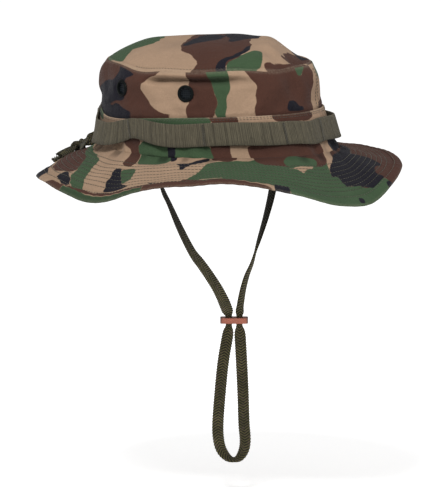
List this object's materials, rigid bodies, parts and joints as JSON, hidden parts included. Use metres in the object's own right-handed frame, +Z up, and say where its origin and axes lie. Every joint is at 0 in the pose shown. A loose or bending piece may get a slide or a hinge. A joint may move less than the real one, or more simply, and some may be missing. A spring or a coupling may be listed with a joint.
{
  "type": "boonie hat",
  "caption": "Soft-crowned cotton sun hat with a wavy stitched brim, screened vents, loop webbing round the crown and a hanging chin cord with a leather slider.",
  "frame": {"origin": "centre of the head opening, in the plane of the seam between crown and brim", "axes": "+Z up through the crown, -Y the front of the hat, -X the wearer's right"},
  "size_m": [0.279, 0.315, 0.3563],
  "materials": {
    "camo_cloth": "matte twill in a four-colour woodland print",
    "sweat_cloth": "matte plain olive cotton",
    "interlining": "matte stiffened non-woven",
    "webbing": "matte ribbed olive webbing",
    "thread": "polyester thread",
    "braid": "matte flat herringbone braid",
    "blackened_metal": "satin black enamel",
    "screen": "satin black enamel",
    "leather": "smooth tan leather with raw edges"
  },
  "bodies": {
    "hat": {"crown_top": "camo_cloth", "crown_side_right": "camo_cloth", "crown_side_left": "camo_cloth", "crown_band": "camo_cloth", "sweatband": "sweat_cloth", "brim_top_ply": "camo_cloth", "brim_interlining": "interlining", "brim_bottom_ply": "camo_cloth", "brim_binding": "camo_cloth", "webbing_band": "webbing", "webbing_tacks": "thread", "cord_knot": "braid", "cord_back_right": "braid", "cord_back_left": "braid", "cord_tail_right": "braid", "cord_tail_left": "braid", "vent_eyelet_rf": "blackened_metal", "vent_washer_rf": "blackened_metal", "vent_screen_rf": "screen", "vent_eyelet_rb": "blackened_metal", "vent_washer_rb": "blackened_metal", "vent_screen_rb": "screen", "vent_eyelet_lf": "blackened_metal", "vent_washer_lf": "blackened_metal", "vent_screen_lf": "screen", "vent_eyelet_lb": "blackened_metal", "vent_washer_lb": "blackened_metal", "vent_screen_lb": "screen", "cord_eyelet_right": "blackened_metal", "cord_washer_right": "blackened_metal", "cord_eyelet_left": "blackened_metal", "cord_washer_left": "blackened_metal"},
    "chin_cord": {"chin_strand_right": "braid", "chin_strand_left": "braid", "chin_loop": "braid"},
    "slider": {"slider": "leather"}
  },
  "joints": [
    {"name": "chin_cord_swing", "type": "hinge", "parent": "hat", "child": "chin_cord", "pos_m": [0, 0.0016, 0], "axis": [1, 0, 0], "range_deg": [-50, 50]},
    {"name": "slider_slide", "type": "slide", "parent": "chin_cord", "child": "slider", "axis": [0, 0, 1], "range_m": [-0.09, 0.07], "deforming": ["chin_strand_right", "chin_strand_left", "chin_loop"]}
  ]
}
